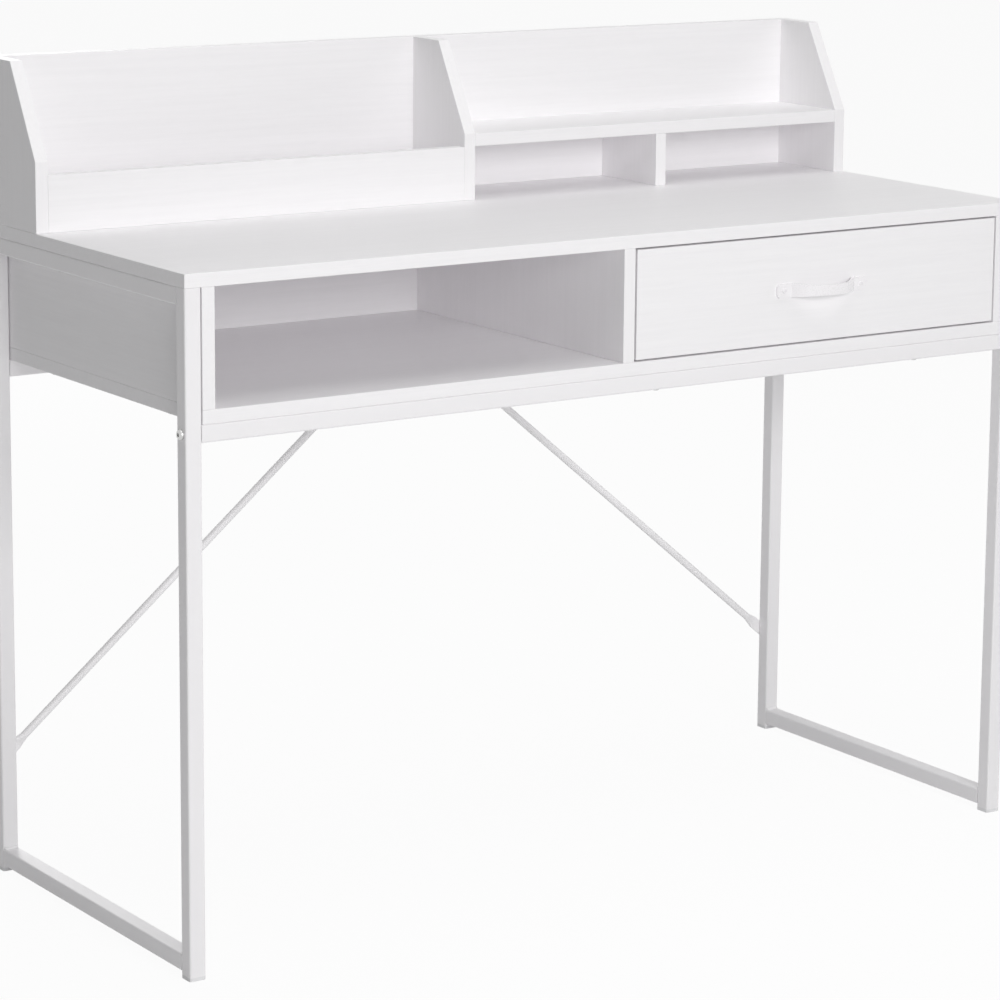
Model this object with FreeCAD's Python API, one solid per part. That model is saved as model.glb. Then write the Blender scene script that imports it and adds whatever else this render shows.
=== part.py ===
"""White student desk with a low hutch.

Two welded side frames of square steel tube carry a board cabinet: an open
cubby on the left, one drawer on roller runners on the right, a worktop above
and a low hutch along its rear edge. Two rods brace the frame at the back.

Millimetres, +Z up, +X to the sitter's right, the front faces -Y.
The origin lies on the floor below the middle of the overall box.
"""

import FreeCAD
import Part
import math
import os

Vector = FreeCAD.Vector

# Overall sizes
DESK_WIDTH = 1120.0
DESK_DEPTH = 460.0
DESK_HEIGHT = 750.0
BOARD = 15.0
EDGE_EASE = 0.8

# Steel frame
TUBE = 19.0
TUBE_WALL = 1.2
TUBE_CORNER = 2.2
FOOT_FLANGE = 4.0
FOOT_PLUG = 14.0
PLUG_CLEARANCE = 0.2
LOW_RAIL_LIFT = 7.0
RAIL_INSERT = 22.0
RAIL_SCREW_INSET = 130.0
RAIL_SCREW_SIDESTEP = 38.0
FOOT_HOLLOW = 9.5

# Frame bolts, which hold the front and rear rails between the side frames
BOLT_R = 3.0
BOLT_HEAD_R = 6.0
BOLT_HEAD = 3.6
BOLT_SOCKET = 4.0
BOLT_CLEARANCE = 0.2
BOLT_TIP_GAP = 2.0

# Rear braces
BRACE_R = 4.5
BRACE_TAB = 3.0
BRACE_TAB_WIDTH = 14.0
BRACE_TAB_LENGTH = 25.0
BRACE_FLARE = 12.0
BRACE_FLAT = 0.02
BRACE_FOOT_HEIGHT = 127.0
BRACE_BOLT_REACH = 12.0

# Cabinet under the worktop
CABINET_OPENING = 127.0
POST_GAP = 1.0
BACK_INSET = 20.0
DIVIDER_X = -6.0

# Drawer
DRAWER_SIDE_GAP = 2.5
DRAWER_LEVEL_GAP = 2.0
DRAWER_SIDE = 12.0
DRAWER_BOX_HEIGHT = 90.0
DRAWER_BOX_LIFT = 14.0
DRAWER_BACK_GAP = 10.0
DRAWER_SCREW_SINK = 0.4
DRAWER_LOW_ROW = 0.3
DRAWER_HIGH_ROW = 0.75
DRAWER_PANEL = 4.0
PANEL_GROOVE = 5.0
PANEL_LIFT = 8.0
PANEL_SETBACK = 1.0
GROOVE_CLEARANCE = 0.2

# Roller runners
RUNNER_SPACE = 12.5
RUNNER_SHEET = 1.2
RUNNER_SETBACK = 2.0
RUNNER_FLANGE_GAP = 0.8
RUNNER_WEB_RISE = 13.0
RUNNER_SCREW_INSET = 60.0
RUNNER_SCREW_RAISE = 1.0
ROLLER_R = 8.5
ROLLER_WIDTH = 6.0
ROLLER_INSET = 12.0
ROLLER_PLAY = 0.3
ROLLER_EASE = 0.6
PIN_R = 2.5
PIN_CLEARANCE = 0.06
PIN_HEAD_R = 4.0
PIN_HEAD = 1.0
PIN_WASHER_GAP = 0.3

# Drawer handle
HANDLE_LENGTH = 131.0
HANDLE_TAB = 20.0
HANDLE_TAB_HEIGHT = 16.0
HANDLE_GRIP_HEIGHT = 11.5
HANDLE_STRIP = 2.6
HANDLE_BOW = 25.0
HANDLE_CORNER = 5.0
HANDLE_INNER_INSET = 3.1
HANDLE_BEND = 2.1

# Hutch
HUTCH_HEIGHT = 183.0
HUTCH_DEPTH = 128.0
HUTCH_TOP_DEPTH = 70.0
HUTCH_KNEE = 78.0
HUTCH_LIP = 63.0
HUTCH_MID_X = 0.0

# Wood screws, small screws and dowels, with their pilot holes
SCREW_R = 2.0
SCREW_HEAD_R = 4.0
SCREW_HEAD = 2.2
SCREW_BITE = 11.0
SMALL_SCREW_R = 1.6
SMALL_SCREW_HEAD_R = 3.2
SMALL_SCREW_HEAD = 1.6
SMALL_SCREW_BITE = 9.0
SCREW_CLEARANCE = 0.1
DOWEL_R = 4.0
DOWEL_IN_FACE = 10.0
DOWEL_IN_EDGE = 20.0
DOWEL_CLEARANCE = 0.1
DOWEL_INSET = 40.0
DOWEL_CHAMFER = 0.8
SHELF_DOWEL_INSET = 24.0

# Extra depth of a hole beyond the tip of what it takes
DRILL_SPARE = 1.0

# Places worked out from the sizes above
REAR_PROJECTION = 2.0 * BRACE_TAB + BOLT_HEAD
MIDDLE_SHIFT = (HANDLE_BOW - REAR_PROJECTION) / 2.0
FRONT = -DESK_DEPTH / 2.0 + MIDDLE_SHIFT
REAR = DESK_DEPTH / 2.0 + MIDDLE_SHIFT
HALF = DESK_WIDTH / 2.0
TOP_UNDER = DESK_HEIGHT - BOARD
POST_X = HALF - TUBE / 2.0
FRONT_POST_Y = FRONT + TUBE / 2.0
REAR_POST_Y = REAR - TUBE / 2.0
CABINET_HALF = HALF - TUBE - POST_GAP
SIDE_INNER = CABINET_HALF - BOARD
FLOOR_TOP = TOP_UNDER - CABINET_OPENING
FLOOR_UNDER = FLOOR_TOP - BOARD
RAIL_Z = FLOOR_UNDER - TUBE / 2.0
BACK_FACE = REAR - BACK_INSET - BOARD
HUTCH_FRONT = REAR - HUTCH_DEPTH
HUTCH_BACK_FACE = REAR - BOARD
SHELF_TOP = DESK_HEIGHT + HUTCH_KNEE

PARTS = {}


def add(name, shape):
    """Keeps a finished sub-part under its node name."""
    PARTS[name] = shape


def group(shapes):
    """Several separate solids as one node."""
    return Part.makeCompound(shapes)


def block(x0, x1, y0, y1, z0, z1):
    """Plain box between two corners."""
    return Part.makeBox(x1 - x0, y1 - y0, z1 - z0, Vector(x0, y0, z0))


def board(x0, x1, y0, y1, z0, z1):
    """Faced board with its edges eased."""
    plain = block(x0, x1, y0, y1, z0, z1)
    return plain.makeFillet(EDGE_EASE, plain.Edges)


def rod(start, direction, radius, length):
    """Round bar from a point along a direction."""
    return Part.makeCylinder(radius, length, start, direction)


def rounded_outline(width, height, radius):
    """Closed wire of a rectangle with round corners, centred on the origin in XY."""
    a = width / 2.0
    b = height / 2.0
    mid = radius * (1.0 - math.sqrt(0.5))
    corners = [(a, b, 1, 1), (-a, b, -1, 1), (-a, -b, -1, -1), (a, -b, 1, -1)]
    arcs = []
    for x, y, sx, sy in corners:
        beside = Vector(x, y - sy * radius, 0)
        across = Vector(x - sx * radius, y, 0)
        first, last = (beside, across) if sx * sy > 0 else (across, beside)
        arcs.append((first, Vector(x - sx * mid, y - sy * mid, 0), last))
    edges = []
    for index, (first, middle, last) in enumerate(arcs):
        edges.append(Part.Arc(first, middle, last).toShape())
        edges.append(Part.LineSegment(last, arcs[(index + 1) % len(arcs)][0]).toShape())
    return Part.Wire(edges)


def aim(shape, axis, start):
    """Turns a shape built along +Z to run along the named axis from a point."""
    if axis == "x":
        shape.rotate(Vector(0, 0, 0), Vector(0, 1, 0), 90)
    if axis == "y":
        shape.rotate(Vector(0, 0, 0), Vector(1, 0, 0), -90)
    shape.translate(start)
    return shape


def square_bar(axis, start, length, size, corner):
    """Solid square bar with round corners, its axis starting at a point."""
    face = Part.Face(rounded_outline(size, size, corner))
    return aim(face.extrude(Vector(0, 0, length)), axis, start)


def square_tube(axis, start, length):
    """Hollow square tube of the frame's section."""
    outer = square_bar(axis, start, length, TUBE, TUBE_CORNER)
    inner = square_bar(axis, start, length, TUBE - 2.0 * TUBE_WALL, TUBE_CORNER - TUBE_WALL)
    return outer.cut(inner)


def domed_head(radius, height):
    """Button head with a domed top, its flat face on z = 0 and its crown towards +Z."""
    rim = height * 0.35
    crown = radius * 0.45
    shoulder = Vector(radius * 0.86, 0, height * 0.78)
    edges = [
        Part.LineSegment(Vector(0, 0, 0), Vector(radius, 0, 0)).toShape(),
        Part.LineSegment(Vector(radius, 0, 0), Vector(radius, 0, rim)).toShape(),
        Part.Arc(Vector(radius, 0, rim), shoulder, Vector(crown, 0, height)).toShape(),
        Part.LineSegment(Vector(crown, 0, height), Vector(0, 0, height)).toShape(),
        Part.LineSegment(Vector(0, 0, height), Vector(0, 0, 0)).toShape(),
    ]
    half_section = Part.Face(Part.Wire(edges))
    return half_section.revolve(Vector(0, 0, 0), Vector(0, 0, 1), 360)


def turn_to(shape, seat, outward):
    """Turns a shape built along +Z so that it points outward from its seat."""
    turn = FreeCAD.Rotation(Vector(0, 0, 1), outward)
    shape.Placement = FreeCAD.Placement(seat, turn)
    return shape


def screw(seat, outward, head_r, head, shank_r, shank):
    """Pan-head screw: head outside its seat, shank the other way."""
    body = domed_head(head_r, head).fuse(rod(Vector(0, 0, 0), Vector(0, 0, -1), shank_r, shank))
    slot_depth = head * 0.5
    slot_width = head_r * 0.3
    arm = head_r * 0.6
    for length, width in ((arm, slot_width), (slot_width, arm)):
        body = body.cut(block(-length, length, -width, width, head - slot_depth, head))
    return turn_to(body.removeSplitter(), seat, outward)


def wood_screw(seat, outward, shank):
    """Screw of the common size."""
    return screw(seat, outward, SCREW_HEAD_R, SCREW_HEAD, SCREW_R, shank)


def small_screw(seat, outward, shank):
    """Screw that holds a runner or the handle."""
    return screw(seat, outward, SMALL_SCREW_HEAD_R, SMALL_SCREW_HEAD, SMALL_SCREW_R, shank)


def socket_bolt(seat, outward, shank):
    """Button-head bolt with a hexagon socket."""
    body = domed_head(BOLT_HEAD_R, BOLT_HEAD)
    body = body.fuse(rod(Vector(0, 0, 0), Vector(0, 0, -1), BOLT_R, shank))
    reach = BOLT_SOCKET / math.sqrt(3.0)
    corners = [Vector(reach, 0, 0)]
    for step in range(1, 7):
        angle = math.radians(60.0 * step)
        corners.append(Vector(reach * math.cos(angle), reach * math.sin(angle), 0))
    socket = Part.Face(Part.makePolygon(corners)).extrude(Vector(0, 0, BOLT_HEAD))
    socket.translate(Vector(0, 0, BOLT_HEAD * 0.35))
    return turn_to(body.cut(socket).removeSplitter(), seat, outward)


def bore(shape, points, direction, radius, length):
    """Drills the same hole at each point."""
    for point in points:
        shape = shape.cut(rod(point, direction, radius, length))
    return shape


class DowelJoint:
    """Row of glued dowels between the face of one board and the edge of another."""

    def __init__(self, points, into_edge):
        """Points lie where the two boards meet; into_edge points into the board that is end-drilled."""
        self.points = points
        self.into_edge = into_edge

    def drill_face(self, shape):
        """Blind holes in the board that is met on its face."""
        away = self.into_edge * -1.0
        deep = DOWEL_IN_FACE + DRILL_SPARE
        return bore(shape, self.points, away, DOWEL_R + DOWEL_CLEARANCE, deep)

    def drill_edge(self, shape):
        """Blind holes in the board that is met on its edge."""
        deep = DOWEL_IN_EDGE + DRILL_SPARE
        return bore(shape, self.points, self.into_edge, DOWEL_R + DOWEL_CLEARANCE, deep)

    def pins(self):
        """The dowels themselves."""
        made = []
        for point in self.points:
            start = point - self.into_edge * DOWEL_IN_FACE
            pin = rod(start, self.into_edge, DOWEL_R, DOWEL_IN_FACE + DOWEL_IN_EDGE)
            made.append(pin.makeChamfer(DOWEL_CHAMFER, [pin.Edges[0], pin.Edges[2]]))
        return made


def build_side_frames():
    """Posts, top rails, floor rails and foot plugs of both side frames."""
    post_length = TOP_UNDER - FOOT_FLANGE
    rail_length = DESK_DEPTH - 2.0 * TUBE
    top_rail_z = TOP_UNDER - TUBE / 2.0
    low_rail_z = LOW_RAIL_LIFT + TUBE / 2.0
    plug = TUBE - 2.0 * TUBE_WALL - 2.0 * PLUG_CLEARANCE
    plug_corner = TUBE_CORNER - TUBE_WALL
    top_screws = []
    for side, x in (("left", -POST_X), ("right", POST_X)):
        for place, y in (("front", FRONT_POST_Y), ("rear", REAR_POST_Y)):
            post = square_tube("z", Vector(x, y, FOOT_FLANGE), post_length)
            through = Vector(x - TUBE, y, RAIL_Z)
            post = bore(post, [through], Vector(1, 0, 0), BOLT_R + BOLT_CLEARANCE, 2.0 * TUBE)
            if place == "rear":
                hole = Vector(x, REAR + DRILL_SPARE, BRACE_FOOT_HEIGHT)
                deep = DRILL_SPARE + BRACE_BOLT_REACH
                post = bore(post, [hole], Vector(0, -1, 0), BOLT_R + BOLT_CLEARANCE, deep)
            add(f"{side}_{place}_post", post)
            flange = square_bar("z", Vector(x, y, 0), FOOT_FLANGE, TUBE, TUBE_CORNER)
            stem = square_bar("z", Vector(x, y, FOOT_FLANGE), FOOT_PLUG, plug, plug_corner)
            hollow = square_bar("z", Vector(x, y, FOOT_FLANGE), FOOT_PLUG, FOOT_HOLLOW, plug_corner)
            add(f"{side}_{place}_foot", flange.fuse(stem).cut(hollow).removeSplitter())
        start = FRONT + TUBE
        top_rail = square_tube("y", Vector(x, start, top_rail_z), rail_length)
        for y in (start + DOWEL_INSET, HUTCH_FRONT - DOWEL_INSET):
            seat = Vector(x, y, TOP_UNDER - TUBE)
            clear = SCREW_R + SCREW_CLEARANCE
            top_rail = bore(top_rail, [seat], Vector(0, 0, 1), clear, TUBE)
            top_screws.append(wood_screw(seat, Vector(0, 0, -1), TUBE + SCREW_BITE))
        add(f"{side}_top_rail", top_rail)
        add(f"{side}_floor_rail", square_tube("y", Vector(x, start, low_rail_z), rail_length))
    add("top_rail_screws", group(top_screws))
    return [Vector(s.Placement.Base.x, s.Placement.Base.y, TOP_UNDER) for s in top_screws]


def build_cross_rails():
    """Front and rear rails, their threaded end blocks, and the bolts through the posts."""
    length = DESK_WIDTH - 2.0 * TUBE
    block_size = TUBE - 2.0 * TUBE_WALL - 2.0 * PLUG_CLEARANCE
    bolts = []
    inserts = []
    screws = []
    floor_points = []
    screw_places = (RAIL_SCREW_INSET - length / 2.0, RAIL_SCREW_SIDESTEP, length / 2.0 - RAIL_SCREW_INSET)
    for name, y in (("front_rail", FRONT_POST_Y), ("rear_rail", REAR_POST_Y)):
        start = Vector(-length / 2.0, y, RAIL_Z)
        rail = square_tube("x", start, length)
        for x in screw_places:
            seat = Vector(x, y, RAIL_Z - TUBE / 2.0)
            rail = bore(rail, [seat], Vector(0, 0, 1), SCREW_R + SCREW_CLEARANCE, TUBE)
            screws.append(wood_screw(seat, Vector(0, 0, -1), TUBE + SCREW_BITE))
            floor_points.append(Vector(x, y, FLOOR_UNDER))
        if name == "rear_rail":
            hole = Vector(0, REAR + DRILL_SPARE, RAIL_Z)
            deep = DRILL_SPARE + BRACE_BOLT_REACH
            rail = bore(rail, [hole], Vector(0, -1, 0), BOLT_R + BOLT_CLEARANCE, deep)
        add(name, rail)
        for sign in (-1.0, 1.0):
            seat = Vector(sign * HALF, y, RAIL_Z)
            bolts.append(socket_bolt(seat, Vector(sign, 0, 0), TUBE + RAIL_INSERT - BOLT_TIP_GAP))
            inner = -length / 2.0 if sign < 0 else length / 2.0 - RAIL_INSERT
            end_face = Vector(inner, y, RAIL_Z)
            nut = square_bar("x", end_face, RAIL_INSERT, block_size, TUBE_CORNER - TUBE_WALL)
            nut = bore(nut, [end_face], Vector(1, 0, 0), BOLT_R + BOLT_CLEARANCE / 2.0, RAIL_INSERT)
            inserts.append(nut)
    add("frame_bolts", group(bolts))
    add("rail_end_nuts", group(inserts))
    add("rail_screws", group(screws))
    return floor_points


def stadium(width, thickness, aside, level):
    """Slot-shaped wire across X and Y at a level, set aside along Y: two lines and two half rounds."""
    r = thickness / 2.0
    a = width / 2.0 - r
    right = [Vector(a, aside - r, level), Vector(a + r, aside, level), Vector(a, aside + r, level)]
    left = [Vector(-a, aside + r, level), Vector(-a - r, aside, level), Vector(-a, aside - r, level)]
    return Part.Wire([
        Part.Arc(*right).toShape(),
        Part.LineSegment(right[2], left[0]).toShape(),
        Part.Arc(*left).toShape(),
        Part.LineSegment(left[2], right[0]).toShape(),
    ])


def flattened_end(reach, aside):
    """Pressed end of a brace along +Z from its bolt hole: round-nosed tab, flare, half of the rod."""
    half_width = BRACE_TAB_WIDTH / 2.0
    under = aside - BRACE_TAB / 2.0
    way = Vector(0, 1, 0)
    nose = rod(Vector(0, under, 0), way, half_width, BRACE_TAB)
    plate = block(-half_width, half_width, under, under + BRACE_TAB, 0, BRACE_TAB_LENGTH)
    hole = rod(Vector(0, under, 0), way, BOLT_R + BOLT_CLEARANCE, BRACE_TAB)
    tab = nose.fuse(plate).cut(hole)
    flare_top = BRACE_TAB_LENGTH + BRACE_FLARE
    flat = stadium(BRACE_TAB_WIDTH, BRACE_TAB, aside, BRACE_TAB_LENGTH)
    round_end = stadium(2.0 * BRACE_R + BRACE_FLAT, 2.0 * BRACE_R, 0, flare_top)
    flare = Part.makeLoft([flat, round_end], True, True)
    stem = rod(Vector(0, 0, flare_top), Vector(0, 0, 1), BRACE_R, reach)
    return [tab, flare, stem]


def brace(foot, head, step):
    """Rod between two bolt centres, pressed flat and drilled at both ends.

    The tab at the head is pressed aside by the step, so that it lies behind another one.
    """
    span = head - foot
    reach = span.Length / 2.0 - BRACE_TAB_LENGTH - BRACE_FLARE
    behind = Vector(0, 1, 0)
    direction = span.normalize()
    side = behind.cross(direction)
    whole = None
    for centre, sign, aside in ((foot, 1.0, 0.0), (head, -1.0, step)):
        along = direction * sign
        wide = side * sign
        matrix = FreeCAD.Matrix(
            wide.x, behind.x, along.x, centre.x,
            wide.y, behind.y, along.y, centre.y,
            wide.z, behind.z, along.z, centre.z,
            0, 0, 0, 1,
        )
        for piece in flattened_end(reach, aside):
            piece.Placement = FreeCAD.Placement(matrix).multiply(piece.Placement)
            whole = whole.fuse(piece) if whole else piece
    return whole.removeSplitter()


def build_braces():
    """The two rear braces, which share one bolt at the middle of the rear rail."""
    y = REAR + BRACE_TAB / 2.0
    middle = Vector(0, y, RAIL_Z)
    add("left_brace", brace(Vector(-POST_X, y, BRACE_FOOT_HEIGHT), middle, 0.0))
    add("right_brace", brace(Vector(POST_X, y, BRACE_FOOT_HEIGHT), middle, BRACE_TAB))
    behind = Vector(0, 1, 0)
    reach = BRACE_BOLT_REACH - DRILL_SPARE
    bolts = [socket_bolt(Vector(0, REAR + 2.0 * BRACE_TAB, RAIL_Z), behind, 2.0 * BRACE_TAB + reach)]
    for x in (-POST_X, POST_X):
        seat = Vector(x, REAR + BRACE_TAB, BRACE_FOOT_HEIGHT)
        bolts.append(socket_bolt(seat, behind, BRACE_TAB + reach))
    add("brace_bolts", group(bolts))


def build_cabinet(top_screw_points, floor_screw_points):
    """Worktop, cabinet boards and what joins them. Returns the worktop before the hutch holes."""
    up = Vector(0, 0, 1)
    pilot = SCREW_R + SCREW_CLEARANCE
    worktop = board(-HALF, HALF, FRONT, REAR, TOP_UNDER, DESK_HEIGHT)
    worktop = bore(worktop, top_screw_points, up, pilot, SCREW_BITE + DRILL_SPARE)
    floor = board(-CABINET_HALF, CABINET_HALF, FRONT, REAR, FLOOR_UNDER, FLOOR_TOP)
    floor = bore(floor, floor_screw_points, up, pilot, SCREW_BITE + DRILL_SPARE)

    uprights = {
        "cabinet_left_side": (-CABINET_HALF, REAR),
        "cabinet_divider": (DIVIDER_X - BOARD / 2.0, BACK_FACE),
        "cabinet_right_side": (SIDE_INNER, REAR),
    }
    back = board(-SIDE_INNER, SIDE_INNER, BACK_FACE, BACK_FACE + BOARD, FLOOR_TOP, TOP_UNDER)
    middle_z = (FLOOR_TOP + TOP_UNDER) / 2.0
    dowels = []
    floor_screws = []
    back_screws = []
    for name, (x, end) in uprights.items():
        upright = board(x, x + BOARD, FRONT, end, FLOOR_TOP, TOP_UNDER)
        centre = x + BOARD / 2.0
        rows = (FRONT + DOWEL_INSET, BACK_FACE - DOWEL_INSET)
        joint = DowelJoint([Vector(centre, y, TOP_UNDER) for y in rows], Vector(0, 0, -1))
        worktop = joint.drill_face(worktop)
        upright = joint.drill_edge(upright)
        dowels.extend(joint.pins())
        for y in (rows[0] + DOWEL_INSET, rows[1] - DOWEL_INSET):
            seat = Vector(centre, y, FLOOR_UNDER)
            bite = BOARD + 2.0 * SCREW_BITE
            floor = bore(floor, [seat], up, pilot, BOARD)
            upright = bore(upright, [Vector(centre, y, FLOOR_TOP)], up, pilot, 2.0 * SCREW_BITE + DRILL_SPARE)
            floor_screws.append(wood_screw(seat, Vector(0, 0, -1), bite))
        if name == "cabinet_divider":
            for z in (FLOOR_TOP + DOWEL_INSET, TOP_UNDER - DOWEL_INSET):
                seat = Vector(centre, BACK_FACE + BOARD, z)
                inward = Vector(0, -1, 0)
                back = bore(back, [seat], inward, pilot, BOARD)
                mouth = Vector(centre, BACK_FACE, z)
                upright = bore(upright, [mouth], inward, pilot, 2.0 * SCREW_BITE + DRILL_SPARE)
                back_screws.append(wood_screw(seat, Vector(0, 1, 0), BOARD + 2.0 * SCREW_BITE))
        else:
            face = x + BOARD if x < 0 else x
            into = Vector(1, 0, 0) if x < 0 else Vector(-1, 0, 0)
            levels = (middle_z - DOWEL_INSET, middle_z + DOWEL_INSET)
            points = [Vector(face, BACK_FACE + BOARD / 2.0, z) for z in levels]
            side_joint = DowelJoint(points, into)
            upright = side_joint.drill_face(upright)
            back = side_joint.drill_edge(back)
            dowels.extend(side_joint.pins())
        add(name, upright)
    add("cabinet_floor", floor)
    add("cabinet_back", back)
    add("cabinet_dowels", group(dowels))
    add("floor_board_screws", group(floor_screws))
    add("back_panel_screws", group(back_screws))
    return worktop


def hutch_side(x):
    """Upright of the hutch: full depth at the foot, then raked back above the knee."""
    top = DESK_HEIGHT + HUTCH_HEIGHT
    corners = [
        Vector(x, REAR, DESK_HEIGHT),
        Vector(x, REAR, top),
        Vector(x, REAR - HUTCH_TOP_DEPTH, top),
        Vector(x, HUTCH_FRONT, DESK_HEIGHT + HUTCH_KNEE),
        Vector(x, HUTCH_FRONT, DESK_HEIGHT),
    ]
    face = Part.Face(Part.makePolygon(corners + corners[:1]))
    plain = face.extrude(Vector(BOARD, 0, 0))
    return plain.makeFillet(EDGE_EASE, plain.Edges)


def build_hutch(worktop):
    """Hutch boards on the rear of the worktop, and the dowels and screws that join them."""
    top = DESK_HEIGHT + HUTCH_HEIGHT
    pilot = SCREW_R + SCREW_CLEARANCE
    mid_left = HUTCH_MID_X - BOARD / 2.0
    mid_right = mid_left + BOARD
    inner = HALF - BOARD
    cubby_x = (mid_right + inner) / 2.0
    down = Vector(0, 0, -1)
    forward = Vector(0, -1, 0)

    left = hutch_side(-HALF)
    right = hutch_side(inner)
    middle = hutch_side(mid_left).cut(block(mid_left, mid_right, HUTCH_BACK_FACE, REAR, DESK_HEIGHT, top))
    back = board(-inner, inner, HUTCH_BACK_FACE, REAR, DESK_HEIGHT, top)
    shelf = board(mid_right, inner, HUTCH_FRONT, HUTCH_BACK_FACE, SHELF_TOP - BOARD, SHELF_TOP)
    divider = board(
        cubby_x - BOARD / 2.0, cubby_x + BOARD / 2.0,
        HUTCH_FRONT, HUTCH_BACK_FACE, DESK_HEIGHT, SHELF_TOP - BOARD,
    )
    lip_top = DESK_HEIGHT + HUTCH_LIP
    lip = board(-inner, mid_left, HUTCH_FRONT, HUTCH_FRONT + BOARD, DESK_HEIGHT, lip_top)

    dowels = []
    foot_rows = (HUTCH_FRONT + DOWEL_INSET, HUTCH_BACK_FACE - DOWEL_INSET / 2.0)

    def stand(upright, x):
        """Dowels from the worktop into the foot of an upright."""
        nonlocal worktop
        joint = DowelJoint([Vector(x, y, DESK_HEIGHT) for y in foot_rows], down * -1.0)
        worktop = joint.drill_face(worktop)
        dowels.extend(joint.pins())
        return joint.drill_edge(upright)

    left = stand(left, -HALF + BOARD / 2.0)
    middle = stand(middle, HUTCH_MID_X)
    right = stand(right, inner + BOARD / 2.0)
    divider = stand(divider, cubby_x)

    lip_y = HUTCH_FRONT + BOARD / 2.0
    lip_ends = (-inner + DOWEL_INSET, mid_left - DOWEL_INSET)
    lip_joint = DowelJoint([Vector(x, lip_y, DESK_HEIGHT) for x in lip_ends], down * -1.0)
    worktop = lip_joint.drill_face(worktop)
    lip = lip_joint.drill_edge(lip)
    dowels.extend(lip_joint.pins())

    back_y = HUTCH_BACK_FACE + BOARD / 2.0
    back_rows = (DESK_HEIGHT + DOWEL_INSET, top - DOWEL_INSET)
    for x, into in ((-inner, Vector(1, 0, 0)), (inner, Vector(-1, 0, 0))):
        joint = DowelJoint([Vector(x, back_y, z) for z in back_rows], into)
        back = joint.drill_edge(back)
        dowels.extend(joint.pins())
        if x < 0:
            left = joint.drill_face(left)
        else:
            right = joint.drill_face(right)

    shelf_z = SHELF_TOP - BOARD / 2.0
    shelf_y = (HUTCH_FRONT + SHELF_DOWEL_INSET, HUTCH_BACK_FACE - DOWEL_INSET)
    joint = DowelJoint([Vector(inner, y, shelf_z) for y in shelf_y], Vector(-1, 0, 0))
    right = joint.drill_face(right)
    shelf = joint.drill_edge(shelf)
    dowels.extend(joint.pins())
    joint = DowelJoint([Vector(mid_right, y, shelf_z) for y in shelf_y], Vector(1, 0, 0))
    middle = joint.drill_face(middle)
    shelf = joint.drill_edge(shelf)
    dowels.extend(joint.pins())

    back_screws = []
    bite = 2.0 * SCREW_BITE

    def hold(target, x, z):
        """Screw through the back into the rear edge of another board."""
        nonlocal back
        seat = Vector(x, REAR, z)
        back = bore(back, [seat], forward, pilot, BOARD)
        back_screws.append(wood_screw(seat, Vector(0, 1, 0), BOARD + bite))
        return bore(target, [Vector(x, HUTCH_BACK_FACE, z)], forward, pilot, bite + DRILL_SPARE)

    for z in back_rows:
        middle = hold(middle, HUTCH_MID_X, z)
    for x in ((mid_right + cubby_x) / 2.0, (cubby_x + inner) / 2.0):
        shelf = hold(shelf, x, shelf_z)
    divider = hold(divider, cubby_x, DESK_HEIGHT + HUTCH_KNEE / 3.0)

    add("worktop", worktop)
    add("hutch_left_side", left)
    add("hutch_middle_side", middle)
    add("hutch_right_side", right)
    add("hutch_back", back)
    add("hutch_shelf", shelf)
    add("hutch_cubby_divider", divider)
    add("hutch_front_lip", lip)
    add("hutch_dowels", group(dowels))
    add("hutch_back_screws", group(back_screws))


# Drawer places, from the opening between the divider and the right side
OPEN_LEFT = DIVIDER_X + BOARD / 2.0
OPEN_RIGHT = SIDE_INNER
BOX_LEFT = OPEN_LEFT + RUNNER_SPACE
BOX_RIGHT = OPEN_RIGHT - RUNNER_SPACE
BOX_FRONT = FRONT + BOARD
BOX_REAR = BACK_FACE - DRAWER_BACK_GAP
BOX_DEPTH = BOX_REAR - BOX_FRONT
BOX_BOTTOM = FLOOR_TOP + DRAWER_BOX_LIFT
BOX_TOP = BOX_BOTTOM + DRAWER_BOX_HEIGHT
DRAWER_X = (OPEN_LEFT + OPEN_RIGHT) / 2.0
DRAWER_Z = (FLOOR_TOP + TOP_UNDER) / 2.0


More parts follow.
